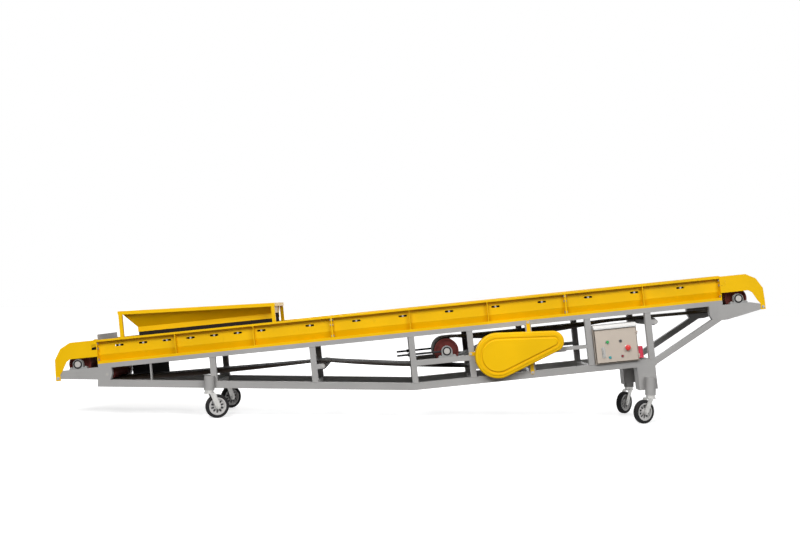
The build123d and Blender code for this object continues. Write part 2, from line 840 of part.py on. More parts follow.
# Control box with a hinged door, a rain hood and a power inlet
box_head_s = box_tail_s + box_width
box_low_n = chord_deck_n
box_top_n = box_low_n + box_height
box_middle = ((box_tail_s + box_head_s) / 2, (box_low_n + box_top_n) / 2)
box_back_y = box_front_y + box_depth
door_back_y = box_front_y - door_gap
door_front_y = door_back_y - door_thickness
hinge_s = box_head_s - hinge_pin_radius / 2
hinge_y = door_front_y - hinge_pin_radius / 2
hinge_rows = (box_low_n + hinge_inset, box_top_n - hinge_inset - hinge_length)
with BuildPart() as control_box:
    with BuildSketch(side_plane(box_back_y)):
        with Locations(box_middle):
            Rectangle(box_width, box_height)
    extrude(amount=box_depth)
    with BuildSketch(side_plane(box_back_y - box_sheet)):
        with Locations(box_middle):
            Rectangle(box_width - 2 * box_sheet, box_height - 2 * box_sheet)
    extrude(amount=box_depth, mode=Mode.SUBTRACT)
    for hinge_n in hinge_rows:
        with BuildSketch(top_plane(hinge_n - hinge_length)):
            with Locations((hinge_s, (hinge_y + box_front_y) / 2)):
                Rectangle(hinge_knuckle_radius, box_front_y - hinge_y + hinge_knuckle_radius)
        extrude(amount=hinge_length - pivot_clearance)
        with BuildSketch(top_plane(hinge_n - hinge_length)):
            with Locations((hinge_s, hinge_y)):
                Circle(hinge_pin_radius)
        extrude(amount=2 * hinge_length)
save("control_box", control_box.part)

with BuildPart() as box_door:
    with BuildSketch(side_plane(door_back_y)):
        with Locations(box_middle):
            Rectangle(box_width - 2 * door_margin, box_height - 2 * door_margin)
    extrude(amount=door_thickness)
    for hinge_n in hinge_rows:
        with BuildSketch(top_plane(hinge_n)):
            with Locations((hinge_s, hinge_y)):
                Circle(hinge_knuckle_radius)
            with Locations((hinge_s - door_margin, hinge_y + hinge_pin_radius)):
                Rectangle(2 * door_margin, hinge_knuckle_radius)
            with Locations((hinge_s, hinge_y)):
                Circle(hinge_pin_radius + pivot_clearance, mode=Mode.SUBTRACT)
        extrude(amount=hinge_length)
save("control_box_door", box_door.part)

# Door controls, each row: place from the door's lower tail corner, radius, height
door_corner = (box_tail_s + door_margin, box_low_n + door_margin)
door_controls = (
    ((100, 172), 15, 14),
    ((212, 172), 13, 12),
    ((266, 110), 24, 30),
    ((110, 40), 13, 10),
    ((216, 42), 13, 10),
)
latch_at = (60, 86)
latch_size = (30, 92)
latch_height = 14
with BuildPart() as controls:
    for (along, up), radius, height in door_controls:
        with BuildSketch(side_plane(door_front_y)):
            with Locations((door_corner[0] + along, door_corner[1] + up)):
                Circle(radius)
        extrude(amount=height)
    with BuildSketch(side_plane(door_front_y)):
        with Locations((door_corner[0] + latch_at[0], door_corner[1] + latch_at[1])):
            SlotOverall(latch_size[1], latch_size[0], rotation=90)
    extrude(amount=latch_height)
save("door_controls", controls.part)

hood_overhang = 8
hood_lip_n = box_top_n - door_margin / 2
hood_front_y = door_front_y - hood_reach / 2
with BuildPart() as hood:
    with BuildSketch(cross_plane(box_tail_s - hood_overhang + door_margin)):
        with BuildLine():
            Polyline(
                (box_back_y, box_top_n),
                (box_back_y, box_top_n + hood_rise),
                (box_front_y, box_top_n + hood_rise),
                (hood_front_y, box_top_n + hood_rise / 4),
                (hood_front_y, hood_lip_n),
                (hood_front_y + box_sheet, hood_lip_n),
                (hood_front_y + box_sheet, box_top_n),
                close=True,
            )
        make_face()
    extrude(amount=box_width + hood_overhang - door_margin)
save("box_hood", hood.part)

inlet_n = -580
inlet_y = box_front_y + box_depth / 2
inlet_back = 30
inlet_length = 92
inlet_socket_radius = 21
inlet_socket_depth = 40
with BuildPart() as inlet:
    with BuildSketch(cross_plane(box_head_s)):
        with Locations((inlet_y, inlet_n)):
            Rectangle(2 * inlet_radius, inlet_length)
    extrude(amount=inlet_back)
    with BuildSketch(top_plane(inlet_n - inlet_length / 2)):
        with Locations((box_head_s + inlet_back, inlet_y)):
            Circle(inlet_radius)
    extrude(amount=inlet_length)
    with BuildSketch(top_plane(inlet_n - inlet_length / 2)):
        with Locations((box_head_s + inlet_back, inlet_y)):
            Circle(inlet_socket_radius)
    extrude(amount=inlet_socket_depth, mode=Mode.SUBTRACT)
save("power_inlet", inlet.part)

# Leg plates under the head chords, channels with their flanges turned in
leg_plate_s = (head_leg_x - deck_tail_x) * cos(slope) + (chord_low_z - deck_tail_z) * sin(slope)
with BuildPart() as leg_plates:
    with BuildSketch(top_plane(chord_low_n - leg_plate_height)):
        with Locations((leg_plate_s, -side + leg_plate_flange / 2)):
            Rectangle(leg_plate_width, leg_plate_flange)
        with Locations((leg_plate_s, -side + leg_plate_flange / 2 + leg_plate_sheet)):
            Rectangle(leg_plate_width - 2 * leg_plate_sheet, leg_plate_flange, mode=Mode.SUBTRACT)
    extrude(amount=leg_plate_height)
    mirror(about=Plane.XZ)
save("leg_plates", leg_plates.part)

# Leg tubes, hollow sockets for the caster stems, with a flat seat on the frame's outer face
leg_y = side + leg_tube_out
# Each pair of tubes: name, x, height
leg_tubes = (("tail_leg_tubes", tail_leg_x, tail_leg_height), ("head_leg_tubes", head_leg_x, head_leg_height))
for leg_name, leg_x, leg_height in leg_tubes:
    with BuildPart() as tubes:
        with BuildSketch(Plane.XY.offset(leg_tube_low_z)):
            with Locations((leg_x, -leg_y)):
                Circle(leg_tube_radius)
            with Locations((leg_x, -side + leg_tube_radius)):
                Rectangle(2 * leg_tube_radius, 2 * leg_tube_radius, mode=Mode.SUBTRACT)
        extrude(amount=leg_height)
        with BuildSketch(Plane.XY.offset(leg_tube_low_z + leg_floor)):
            with Locations((leg_x, -leg_y)):
                Circle(leg_tube_out - leg_tube_wall)
        extrude(amount=leg_height - 2 * leg_floor, mode=Mode.SUBTRACT)
        with BuildSketch(Plane.XY.offset(leg_tube_low_z)):
            with Locations((leg_x, -leg_y)):
                Circle(stem_radius + pivot_clearance)
        extrude(amount=leg_floor, mode=Mode.SUBTRACT)
        mirror(about=Plane.XZ)
    save(leg_name, tubes.part)

# Caster, drawn with its stem on the Z axis and its wheel trailing along +X
race_low_z = 216
crown_thickness = 8
crown_tail = -40
crown_head = 46
fork_eye_radius = 22
axle_head_radius = 13
axle_head_length = 7
fork_half = wheel_width / 2 + fork_gap
nut_radius = 20
nut_length = 16
crown_low_z = race_low_z - crown_thickness
with BuildPart() as fork:
    with BuildSketch(Plane.XY.offset(crown_low_z)):
        with Locations(((crown_tail + crown_head) / 2, 0)):
            RectangleRounded(crown_head - crown_tail, 2 * (fork_half + fork_sheet), fork_eye_radius)
    extrude(amount=crown_thickness)
    with BuildSketch(Plane.XY.offset(race_low_z)):
        Circle(race_radius)
    extrude(amount=leg_tube_low_z - pivot_clearance - race_low_z)
    with BuildSketch(Plane.XY.offset(race_low_z)):
        Circle(stem_radius)
    extrude(amount=leg_tube_low_z + leg_floor + nut_length - race_low_z)
    with BuildSketch(Plane.XY.offset(leg_tube_low_z + leg_floor + pivot_clearance)):
        RegularPolygon(nut_radius, 6)
    extrude(amount=nut_length)
    for leg_side in (fork_half + fork_sheet, -fork_half):
        with BuildSketch(Plane.XZ.offset(-leg_side)):
            with Locations((crown_head / 2, crown_low_z + crown_thickness / 2)):
                Rectangle(crown_head, crown_thickness)
            with Locations((wheel_trail, wheel_radius)):
                Circle(fork_eye_radius)
            make_hull()
        extrude(amount=fork_sheet)
    with BuildSketch(Plane.XZ.offset(-fork_half - fork_sheet - axle_head_length)):
        with Locations((wheel_trail, wheel_radius)):
            Circle(axle_radius)
    extrude(amount=2 * (fork_half + fork_sheet + axle_head_length))
    for head_side in (fork_half + fork_sheet + axle_head_length, -fork_half - fork_sheet):
        with BuildSketch(Plane.XZ.offset(-head_side)):
            with Locations((wheel_trail, wheel_radius)):
                RegularPolygon(axle_head_radius, 6)
        extrude(amount=axle_head_length)

rim_ring = 12
hub_radius = 24
hub_half = wheel_width / 2 + fork_gap / 2
spoke_disc_half = 7
window_length = 27
window_width = 17
wheel_axis = Axis((wheel_trail, 0, wheel_radius), (0, 1, 0))
wheel_section = Plane(origin=(wheel_trail, 0, wheel_radius), x_dir=(0, 1, 0), z_dir=(1, 0, 0))
rim_half = wheel_width / 2 - 4
with BuildPart() as rim:
    with BuildSketch(wheel_section):
        for low, high, half in (
            (axle_radius + pivot_clearance, hub_radius, hub_half),
            (hub_radius, wheel_rim_radius, spoke_disc_half),
            (wheel_rim_radius - rim_ring, wheel_rim_radius, rim_half),
        ):
            with Locations((0, (low + high) / 2)):
                Rectangle(2 * half, high - low)
    revolve(axis=wheel_axis)
    with BuildSketch(Plane(origin=(wheel_trail, spoke_disc_half, wheel_radius), z_dir=(0, -1, 0))):
        with PolarLocations((hub_radius + wheel_rim_radius - rim_ring) / 2, wheel_spokes):
            SlotOverall(window_length, window_width)
    extrude(amount=2 * spoke_disc_half, mode=Mode.SUBTRACT)

tyre_shoulder = 12
with BuildPart() as tyre:
    with BuildSketch(wheel_section):
        with Locations((0, (wheel_rim_radius + seat_gap + wheel_radius) / 2)):
            Rectangle(wheel_width, wheel_radius - wheel_rim_radius - seat_gap)
    revolve(axis=wheel_axis)
    chamfer(tyre.edges().filter_by(GeomType.CIRCLE).group_by(SortBy.RADIUS)[-1], tyre_shoulder / 2, tyre_shoulder)

# Where the casters stand, each row: name, x, side of the frame, way that the wheel trails in degrees
casters = (
    ("near_tail", tail_leg_x, -1, 25),
    ("far_tail", tail_leg_x, 1, 40),
    ("near_head", head_leg_x, -1, 207),
    ("far_head", head_leg_x, 1, 222),
)
for caster_name, caster_x, caster_side, trail_turn in casters:
    stand = Location((caster_x, caster_side * leg_y, 0), (0, 0, trail_turn))
    for piece_name, piece in (("fork", fork.part), ("rim", rim.part), ("tyre", tyre.part)):
        save(f"{caster_name}_{piece_name}", piece.moved(stand))

# Places for the record
for label, place in (
    ("door hinge", deck_point(hinge_s, 0, hinge_y)),
    ("hopper rim", deck_point((hopper_tail_s + hopper_head_s) / 2, (hopper_tail_n + hopper_head_n) / 2, -side + hopper_bar / 2)),
    ("inlet", deck_point(box_head_s + inlet_back, inlet_n - inlet_length / 2, inlet_y)),
):
    print(label, [round(v, 2) for v in tuple(place)])
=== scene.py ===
"""Looks for the mobile belt conveyor: finishes for every CAD node, fasteners and trim, and the studio."""

import json
import math

import bmesh
import bpy
from mathutils import Matrix, Vector


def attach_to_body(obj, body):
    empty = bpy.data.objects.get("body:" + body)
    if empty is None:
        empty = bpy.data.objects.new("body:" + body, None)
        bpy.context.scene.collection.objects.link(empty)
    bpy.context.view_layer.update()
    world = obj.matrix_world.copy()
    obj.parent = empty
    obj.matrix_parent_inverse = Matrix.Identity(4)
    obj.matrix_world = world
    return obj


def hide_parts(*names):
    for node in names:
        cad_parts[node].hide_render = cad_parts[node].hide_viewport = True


bl_info = {
    "name": "Mobile Belt Conveyor Looks",
    "version": (1, 0, 0),
    "blender": (4, 5, 0),
    "location": "View3D > Sidebar > Conveyor",
    "description": "Finishes, fasteners and studio for the packed belt conveyor",
    "category": "Object",
}

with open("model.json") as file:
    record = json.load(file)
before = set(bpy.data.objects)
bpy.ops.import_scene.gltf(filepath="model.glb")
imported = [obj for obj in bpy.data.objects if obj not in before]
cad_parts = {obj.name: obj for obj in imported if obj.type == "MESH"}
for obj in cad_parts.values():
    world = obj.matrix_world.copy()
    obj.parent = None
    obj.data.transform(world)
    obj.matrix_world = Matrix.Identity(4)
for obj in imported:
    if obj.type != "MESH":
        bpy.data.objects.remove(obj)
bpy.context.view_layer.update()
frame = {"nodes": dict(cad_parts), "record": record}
SLOT_OF = {row["node"]: row["material_slot"] for row in frame["record"]["subparts"]}
MM = 0.001
NEAR = Vector((0, -1, 0))
FAR = Vector((0, 1, 0))
MERGE_GAP = 1e-6
SHARP_ANGLE = math.radians(35)

# The deck as the CAD has it, in millimetres: the tail end of the beams' top, and the incline
DECK_TAIL_X = -2688
DECK_TAIL_Z = 647
INCLINE = math.radians(6.5)
ALONG = Vector((math.cos(INCLINE), 0, math.sin(INCLINE)))
UP = Vector((-math.sin(INCLINE), 0, math.cos(INCLINE)))
DECK_TAIL = Vector((DECK_TAIL_X, 0, DECK_TAIL_Z)) * MM

# Frame on the deck, in millimetres: s along it, n up from the beams' top, y across
SIDE = 350
INNER = 300
BEAM_LENGTH = 5360
SECTION_JOINTS = (2010, 4020)
POSTS = (970, 1825, 2675, 3175, 3680, 4190, 4710)
POST_HALF = 25
RAIL_LOW = -245
CHORD_TOP = -640
CHORD_TOP_Z = 312

# Belt: half its width, where its edges start to hang, and how near a strand its points lie
BELT_HALF = 250
DROOP_FROM = 130
STRAND_NEAR = 14
# Power that leans the hang to the start of a strand
HANG_LEAN = 0.8
# Cuts that let the belt bend: stations along it, and steps across its edges
CUT_FIRST = 120
CUT_LAST = 4740
CUT_STEP = 105
EDGE_CUT_STEP = 20
# Return strands of the belt: start s, n, end s, n, greatest hang of the edges
RETURN_STRANDS = (
    (80, -349, 1890, -380, 24),
    (1915, -381, 3360, -580, 16),
    (3065, -288, 4360, -291, 46),
)

# Bolts: the washer's share of the head's radius and height, and the sides of both
WASHER_WIDE = 1.28
WASHER_THIN = 0.5
HEAD_SIDES = 6
WASHER_SIDES = 14
# Bolt places on the ribs, the end guards and the drive cover's tabs
RIB_FACE = 6
RIB_BOLT_ROWS = (-32, -75, -170)
RIB_BOLT_Y = -328
GUARD_SHEET = 5
GUARD_TIPS = (-343, 5703)
GUARD_TIP_N = -292
COVER_BOLTS = ((3165, -443), (3680, -222), (3676, -652))

# Drum shafts, and the pillow blocks under them: seat, foot, bolts, middle, outer face and nipple
DRUMS = {"tail": (-171, -190), "head": (5502, -203), "takeup": (2967, -397), "drive": (3390, -476)}
BEARING_SEATS = {"tail": -232, "head": -245, "takeup": -450, "drive": -529}
BEARING_FOOT = 14
BEARING_BOLTS = (-60, 60)
BEARING_MIDDLE = 325
BEARING_FACE = 347
NIPPLE_UP = 41
# Turned profiles in millimetres: radius, and way along the axis
INSERT_PROFILE = ((25.6, -4), (38, -4), (38, 1), (34, 3), (25.6, 3))
INSERT_SEGMENTS = 36
NIPPLE_PROFILE = ((0, 0), (4, 0), (4, 5), (2.8, 6), (2.8, 9), (0, 11))
NIPPLE_SEGMENTS = 12

# Weld beads: step along a bead in metres, sides, least share of the radius, scale of the ripple
BEAD_STEP = 0.006
BEAD_SIDES = 6
BEAD_LEAST = 0.5
BEAD_RIPPLE = 160.0

# Motor and its fins, which stop short of the feet below and of the terminal box on the head side
MOTOR = (3872, -404)
MOTOR_RADIUS = 82
FIN_MIDDLE = -40
FIN_LENGTH = 250
FIN_THICK = 3
FIN_ROOT = 2
FIN_FOOT = -0.55
FIN_BOX = 0.85

# Door of the control box: its front, its lower tail corner, and the latch's place from there
DOOR_FRONT = -386
DOOR_CORNER = (4232, -630)
LATCH_AT = (60, 86)
# Plates of the latch: size along, up and out, and how far out the middle lies
LATCH_PLATES = (((30, 92, 5), 2.5), ((22, 70, 6), 8), ((9, 46, 5), 12))
LATCH_BEVEL = 1.5
LATCH_BEVEL_SEGMENTS = 2
# Door controls: name, place from the door's lower tail corner, radius, height, finish
DOOR_CONTROLS = (
    ("start_button", (100, 172), 15, 14, "button_green"),
    ("off_button", (212, 172), 13, 12, "control_plastic"),
    ("stop_button", (266, 110), 24, 30, "button_red"),
    ("run_lamp", (110, 40), 13, 10, "button_teal"),
    ("fault_lamp", (216, 42), 13, 10, "button_maroon"),
)
CONTROL_SEGMENTS = 32
# Profiles of the caps and collars, in shares of a control's radius and height
CAP_PROFILE = ((0, 0), (0.84, 0), (0.84, 0.82), (0.74, 0.97), (0.4, 1), (0, 1))
COLLAR_PROFILE = ((0.86, 0), (1.12, 0), (1.12, 0.18), (1.0, 0.36), (0.86, 0.36))
STOP_COLLAR_PROFILE = ((0.56, 0), (0.98, 0), (0.98, 0.12), (0.8, 0.2), (0.56, 0.2))
STOP_STEM = ((0, 0), (0.55, 0), (0.55, 0.45), (0.92, 0.5))
STOP_TOP = ((0.4, 0.985), (0, 1))
# Round edge of the stop button: shares for its middle and its radius, and its turn in degrees
STOP_EDGE_MIDDLE = (0.82, 0.72)
STOP_EDGE_RADIUS = 0.18
STOP_EDGE_TURN = (-40, 90)
EDGE_STEPS = 5

# Power inlet: s, n and y of its mouth, radius, depth of the socket, length
INLET = (4622, -626, -292, 28, 41, 92)
INLET_SEGMENTS = 40
# Ring round the inlet's mouth: out from the inlet's radius, and way up
INLET_RING = ((-2, 0), (1, 0), (1.6, 4), (1, 13), (-1, 16))
DOME_EDGE = 9
DOME_HEIGHT = 10
PIN_COUNT = 5
PIN_RING = 12
PIN_TIP = ((0, 10), (2, 10), (3, 12))
PIN_RADIUS = 3
PIN_SEGMENTS = 12

# Casters: x and y of the swivel, and the trail's angle in degrees
CASTERS = {
    "near_tail": (-1709, -385, 25),
    "far_tail": (-1709, 385, 40),
    "near_head": (2038.02, -385, 207),
    "far_head": (2038.02, 385, 222),
}
WHEEL_TRAIL = 72
WHEEL_RADIUS = 100
TYRE_BORE = 74.3
TYRE_HALF = 23
TYRE_LIP = 3
TYRE_SEGMENTS = 72
GROOVE_PLACE = 6
GROOVE_HALF = 1.4
GROOVE_TAPER = 0.6
GROOVE_DEPTH = 2
# Web across each wheel's middle: bore, radius, half its thickness and sides; it is black as painted shade in
# the wheel's windows
WEB_BORE = 22
WEB_RADIUS = 66
WEB_HALF = 2
WEB_SEGMENTS = 48

# Finishes: fixed colours as linear light, the soft edge of a bare shaft, and scales of rubber's grain
SHAFT_STEEL = (0.38, 0.365, 0.345)
RUBBER_DUST = (0.06, 0.045, 0.034)
SHAFT_EDGE = 0.001
TYRE_GRAIN = 380
BELT_GRAIN = 900
# Sockets of a colour Mix node: factor, first colour, second colour, result
MIX_FACTOR = 0
MIX_FIRST = 6
MIX_SECOND = 7
MIX_RESULT = 2

# Floor and sky: reach and glow in metres, and colours for rays that see them and for their light
FLOOR_REACH = 60.0
GLOW_FROM = 3.0
GLOW_TO = 8.0
GLOW_NEAR = (0.6, 0.6, 0.6)
FLOOR_SEEN = (0.7, 0.7, 0.7)
FLOOR_BOUNCE = (0.08, 0.08, 0.08)
SKY_LIGHT = (0.12, 0.12, 0.123)
WHITE = (1, 1, 1)
BLACK = (0, 0, 0)
# Lamps: name, place and size in metres, power
LAMPS = (
    ("key", (-3.0, -8.0, 6.0), 4.0, 690),
    ("fill", (4.5, -8.0, 5.6), 4.0, 450),
    ("top", (0, -1.0, 8.0), 8.0, 280),
    ("back", (0, 8.0, 4.0), 6.0, 240),
)
LAMP_AIM = Vector((0, 0, 0.6))
# Camera: place in metres, turns, and sensor and lens in millimetres
CAMERA_PLACE = (-0.179, -8.85, 1.036)
CAMERA_PAN = math.radians(-0.5)
CAMERA_TILT = math.radians(91.82)
CAMERA_ROLL = math.radians(0.7)
CAMERA_SENSOR = 36
CAMERA_LENS = 44.73


def deck(s, n, y=0.0):
    """A place in metres from the CAD's deck coordinates in millimetres."""
    return DECK_TAIL + ALONG * (s * MM) + UP * (n * MM) + Vector((0, y * MM, 0))


def deck_place(place):
    """The CAD's deck coordinates in millimetres of a place in metres."""
    out = place - DECK_TAIL
    return out.dot(ALONG) / MM, out.dot(UP) / MM


def chord_top(s):
    """The height n of the lower chord's top: level under the tail, along the deck after the bend."""
    level = (CHORD_TOP_Z - DECK_TAIL_Z - s * math.sin(INCLINE)) / math.cos(INCLINE)
    return max(level, CHORD_TOP)


class LooksSizes(bpy.types.PropertyGroup):
    """Sizes of the small pieces that only the looks have."""

    bolt_across: bpy.props.FloatProperty(
        name="Bolt Head", description="Radius of a frame bolt's head", default=0.0095, unit="LENGTH")
    bolt_height: bpy.props.FloatProperty(
        name="Bolt Height", description="How far a bolt's head stands out", default=0.0065, unit="LENGTH")
    fin_height: bpy.props.FloatProperty(
        name="Motor Fin", description="How far a cooling fin stands out", default=0.014, unit="LENGTH")
    fin_count: bpy.props.IntProperty(
        name="Motor Fins", description="Cooling fins round the motor", default=36)
    tyre_round: bpy.props.FloatProperty(
        name="Tyre Shoulder", description="Radius of the tyre's shoulders", default=0.012, unit="LENGTH")
    weld_radius: bpy.props.FloatProperty(
        name="Weld Bead", description="Radius of a weld bead", default=0.0028, unit="LENGTH")


class LooksColours(bpy.types.PropertyGroup):
    """Colours of the finishes, as linear light."""

    yellow: bpy.props.FloatVectorProperty(
        name="Beam Yellow", description="Powder coat of the beams, guards, hopper and drive cover",
        subtype="COLOR", default=(0.80, 0.465, 0.0))
    grey: bpy.props.FloatVectorProperty(
        name="Frame Grey", description="Paint of the tube frame",
        subtype="COLOR", default=(0.345, 0.338, 0.33))
    belt: bpy.props.FloatVectorProperty(
        name="Belt", description="Rubber of the belt",
        subtype="COLOR", default=(0.014, 0.010, 0.008))
    oxide: bpy.props.FloatVectorProperty(
        name="Drum Primer", description="Red primer of the drums",
        subtype="COLOR", default=(0.11, 0.018, 0.014))
    beige: bpy.props.FloatVectorProperty(
        name="Box Beige", description="Paint of the control box",
        subtype="COLOR", default=(0.54, 0.47, 0.40))
    motor: bpy.props.FloatVectorProperty(
        name="Motor Blue", description="Paint of the motor",
        subtype="COLOR", default=(0.035, 0.045, 0.10))


class Field:
    """A shader socket that takes part in Python sums."""

    def __init__(self, finish, socket):
        self.finish = finish
        self.socket = socket

    def _math(self, operation, first, second):
        return self.finish.node("ShaderNodeMath", {"operation": operation}, {0: first, 1: second})

    def __add__(self, other):
        return self._math("ADD", self, other)

    __radd__ = __add__

    def __sub__(self, other):
        return self._math("SUBTRACT", self, other)

    def __rsub__(self, other):
        return self._math("SUBTRACT", other, self)

    def __mul__(self, other):
        return self._math("MULTIPLY", self, other)

    __rmul__ = __mul__


class Finish:
    """One procedural material, built around a Principled shader."""

    def __init__(self, name, **plain):
        self.material = bpy.data.materials.new(name)
        self.material.use_nodes = True
        self.nodes = self.material.node_tree.nodes
        self.links = self.material.node_tree.links
        self.shader = self.nodes["Principled BSDF"]
        for socket, value in plain.items():
            self.shader.inputs[self.label(socket)].default_value = value
        self.place = self.node("ShaderNodeTexCoord", {}, {}, "Object")

    @staticmethod
    def label(socket):
        """The shader's own name for a socket."""
        return socket.replace("_", " ").title().replace("Ior", "IOR")

    @classmethod
    def of_tree(cls, tree, shader):
        """The same tools on a tree that exists, such as the world's."""
        finish = cls.__new__(cls)
        finish.nodes, finish.links, finish.shader = tree.nodes, tree.links, tree.nodes[shader]
        return finish

    def node(self, kind, settings, inputs, output=0):
        """Add a node: its settings first, then the values or links of its sockets."""
        made = self.nodes.new(kind)
        for name, value in settings.items():
            setattr(made, name, value)
        for name, value in inputs.items():
            if isinstance(value, Field):
                self.links.new(value.socket, made.inputs[name])
            else:
                made.inputs[name].default_value = value
        return Field(self, made.outputs[output])

    def noise(self, scale, detail=3.0, rough=0.55, stretch=None):
        """Noise from 0 to 1 on object coordinates, pulled out along an axis if asked."""
        vector = self.place
        if stretch:
            vector = self.node("ShaderNodeMapping", {}, {"Vector": self.place, "Scale": stretch})
        return self.node(
            "ShaderNodeTexNoise", {},
            {"Vector": vector, "Scale": scale, "Detail": detail, "Roughness": rough})

    def mask(self, field, low, high):
        """A field as a soft mask that rises from low to high."""
        return self.node(
            "ShaderNodeMapRange", {"clamp": True, "interpolation_type": "SMOOTHSTEP"},
            {"Value": field, "From Min": low, "From Max": high})

    def mix(self, mask, first, second):
        """A colour between two, each a colour or a link."""
        made = self.nodes.new("ShaderNodeMix")
        made.data_type = "RGBA"
        for index, value in ((MIX_FACTOR, mask), (MIX_FIRST, first), (MIX_SECOND, second)):
            if isinstance(value, Field):
                self.links.new(value.socket, made.inputs[index])
            else:
                made.inputs[index].default_value = value if index == MIX_FACTOR else (*value, 1)
        return Field(self, made.outputs[MIX_RESULT])

    def bump(self, height, strength, distance):
        """Normals from a height field."""
        return self.node(
            "ShaderNodeBump", {},
            {"Height": height, "Strength": strength, "Distance": distance}, "Normal")

    def feed(self, **sockets):
        """Link fields to the shader."""
        for socket, value in sockets.items():
            self.links.new(value.socket, self.shader.inputs[self.label(socket)])
        return self.material


def shade(colour, share):
    """A colour made darker or lighter by a share."""
    return tuple(min(1.0, c * share) for c in colour)


def powder_coat(name, colour, gloss=0.38):
    """Powder coat: fine orange peel, soft tone drift, dust and a few dull scuffs."""
    finish = Finish(name, specular_ior_level=0.16)
    drift = finish.mask(finish.noise(2.2, detail=2), 0.3, 0.7)
    grime = finish.mask(finish.noise(9, detail=6, rough=0.65), 0.56, 0.8)
    scuff = finish.mask(finish.noise(34, detail=4, rough=0.6, stretch=(1, 1, 0.25)), 0.66, 0.78)
    tone = finish.mix(drift, shade(colour, 0.94), shade(colour, 1.05))
    tone = finish.mix(grime * 0.22, tone, shade(colour, 0.55))
    tone = finish.mix(scuff * 0.3, tone, shade(colour, 0.7))
    peel = finish.noise(620, detail=2)
    return finish.feed(
        base_color=tone,
        roughness=gloss + grime * 0.2 + scuff * 0.18,
        normal=finish.bump(peel, strength=0.08, distance=0.0006))


def rubber(name, colour, grain_scale):
    """Worn rubber: dull and dusty, with smears and a fine grain."""
    finish = Finish(name, specular_ior_level=0.12)
    dust = finish.mask(finish.noise(5, detail=6, rough=0.7), 0.45, 0.8)
    grain = finish.noise(grain_scale)
    smear = finish.mask(finish.noise(14, detail=4, rough=0.6, stretch=(0.15, 1, 1)), 0.5, 0.75)
    tone = finish.mix(dust * 0.3, colour, RUBBER_DUST)
    tone = finish.mix(smear * 0.25, tone, shade(colour, 0.6))
    return finish.feed(
        base_color=tone,
        roughness=0.62 + dust * 0.25,
        normal=finish.bump(grain, strength=0.2, distance=0.0008))


def bare_metal(name, colour, rough, cast=False):
    """Zinc or cast iron: drawn grain or a sandy skin, with dull patches."""
    finish = Finish(name, metallic=0.0 if cast else 0.85)
    patch = finish.mask(finish.noise(26, detail=4), 0.4, 0.7)
    if cast:
        grain = finish.noise(420)
    else:
        grain = finish.noise(300, detail=2, rough=0.5, stretch=(1, 1, 0.06))
    tone = finish.mix(patch * 0.5, colour, shade(colour, 0.68))
    return finish.feed(
        base_color=tone,
        roughness=rough + patch * 0.16,
        normal=finish.bump(grain, strength=0.25 if cast else 0.06, distance=0.0008))


def roller_coat(name, shell, worn, shaft_from):
    """A painted roller with worn patches, and bare shaft ends from a distance off its middle."""
    finish = Finish(name, specular_ior_level=0.2)
    aside = finish.node("ShaderNodeSeparateXYZ", {}, {0: finish.place}, "Y")
    distance = finish.node("ShaderNodeMath", {"operation": "ABSOLUTE"}, {0: aside})
    bare = finish.mask(distance, shaft_from, shaft_from + SHAFT_EDGE)
    rub = finish.mask(finish.noise(30, detail=4), 0.45, 0.7)
    tone = finish.mix(rub * 0.6, shell, shade(shell, worn))
    return finish.feed(
        base_color=finish.mix(bare, tone, SHAFT_STEEL),
        roughness=0.6 - bare * 0.25 + rub * 0.1,
        metallic=bare * 0.5,
        normal=finish.bump(finish.noise(260), strength=0.1, distance=0.0006))


def moulded(name, colour, rough=0.4):
    """Moulded plastic with a fine spark texture."""
    finish = Finish(name)
    haze = finish.mask(finish.noise(40, detail=4), 0.45, 0.75)
    tone = finish.mix(haze * 0.3, colour, shade(colour, 0.75))
    return finish.feed(
        base_color=tone,
        roughness=rough + haze * 0.12,
        normal=finish.bump(finish.noise(900, detail=2), strength=0.08, distance=0.0005))


FINISHES = {}


def make_finishes(colours):
    """One material for each slot of the record, and those of the small pieces."""
    FINISHES.update(
        beam_yellow=powder_coat("Beam yellow coat", colours.yellow),
        frame_grey=powder_coat("Frame grey coat", colours.grey, gloss=0.45),
        # The carry rollers' near-black shell is their black paint and also painted shade: it darkens the
        # inside of the frame seen through the beams' slots, while the shaft ends stay bare
        roller_steel=roller_coat("Roller black coat and painted shade", (0.022, 0.018, 0.016), worn=1.9, shaft_from=0.272),
        drum_oxide=roller_coat("Drum primer", colours.oxide, worn=0.5, shaft_from=0.284),
        bearing_cast=bare_metal("Bearing cast iron", (0.27, 0.27, 0.265), rough=0.5, cast=True),
        screw_black=powder_coat("Screw black", (0.014, 0.014, 0.015), gloss=0.45),
        belt_rubber=rubber("Belt rubber", colours.belt, BELT_GRAIN),
        motor_blue=powder_coat("Motor blue", colours.motor, gloss=0.45),
        box_beige=powder_coat("Box beige coat", colours.beige, gloss=0.42),
        hood_white=powder_coat("Hood white coat", (0.70, 0.70, 0.69), gloss=0.4),
        # Black plastic of the door controls, also put on the wheel webs as painted shade
        control_plastic=moulded("Black plastic, also painted shade on wheel webs", (0.02, 0.02, 0.022)),
        inlet_red=moulded("Inlet red plastic", (0.66, 0.03, 0.075)),
        caster_zinc=bare_metal("Caster zinc", (0.46, 0.455, 0.44), rough=0.36),
        caster_rim=moulded("Caster rim grey", (0.52, 0.51, 0.50)),
        caster_tyre=rubber("Caster tyre rubber", (0.016, 0.016, 0.017), TYRE_GRAIN),
        bolt_zinc=bare_metal("Bolt zinc", (0.33, 0.325, 0.31), rough=0.4),
        button_green=moulded("Button green", (0.02, 0.32, 0.07), rough=0.3),
        button_red=moulded("Button red", (0.62, 0.025, 0.02), rough=0.3),
        button_teal=moulded("Lamp teal", (0.02, 0.30, 0.32), rough=0.22),
        button_maroon=moulded("Lamp maroon", (0.22, 0.02, 0.025), rough=0.22),
    )


